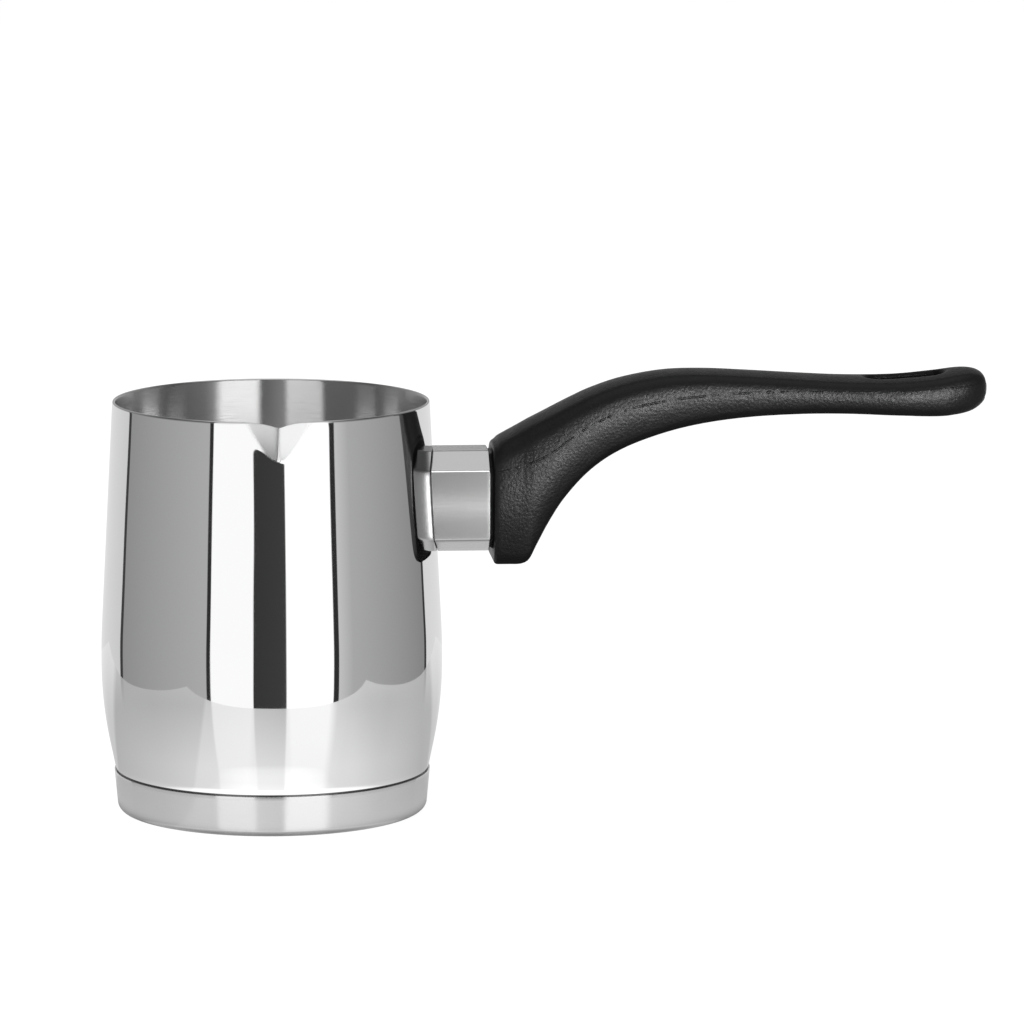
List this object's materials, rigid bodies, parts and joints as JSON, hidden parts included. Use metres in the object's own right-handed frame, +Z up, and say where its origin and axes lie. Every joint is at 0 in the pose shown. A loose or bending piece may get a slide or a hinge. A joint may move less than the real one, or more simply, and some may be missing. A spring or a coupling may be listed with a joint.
{
  "type": "candle melting pot",
  "caption": "Small barrel-shaped steel melting pot with a pinched pouring lip, a thick flat base and a curved black handle behind a steel flame guard.",
  "frame": {"origin": "centre of the flat underside, where the pot's axis meets what it stands on", "axes": "+Z up along the pot's axis, +X from the axis towards the handle's tip, -Y towards the pouring lip"},
  "size_m": [0.2344, 0.0916, 0.1162],
  "materials": {
    "polished_steel": "mirror-polished stainless outside, brushed round inside",
    "brushed_steel": "fine circular brushing",
    "satin_steel": "satin, with polished edges",
    "plain_steel": "bare pressed sheet",
    "zinc_steel": "bright zinc plating",
    "aluminium_core": "pressed, dull",
    "handle_plastic": "fine-grained moulded phenolic with smoother edges"
  },
  "bodies": {
    "root": {"pot_shell": "polished_steel", "base_cap": "brushed_steel", "flame_guard_sleeve": "satin_steel", "handle_grip": "handle_plastic", "heat_spreader_disc": "aluminium_core", "handle_bracket": "plain_steel", "bracket_nut": "zinc_steel", "handle_screw": "zinc_steel", "spring_washer": "zinc_steel", "flat_washer": "zinc_steel"}
  },
  "joints": []
}
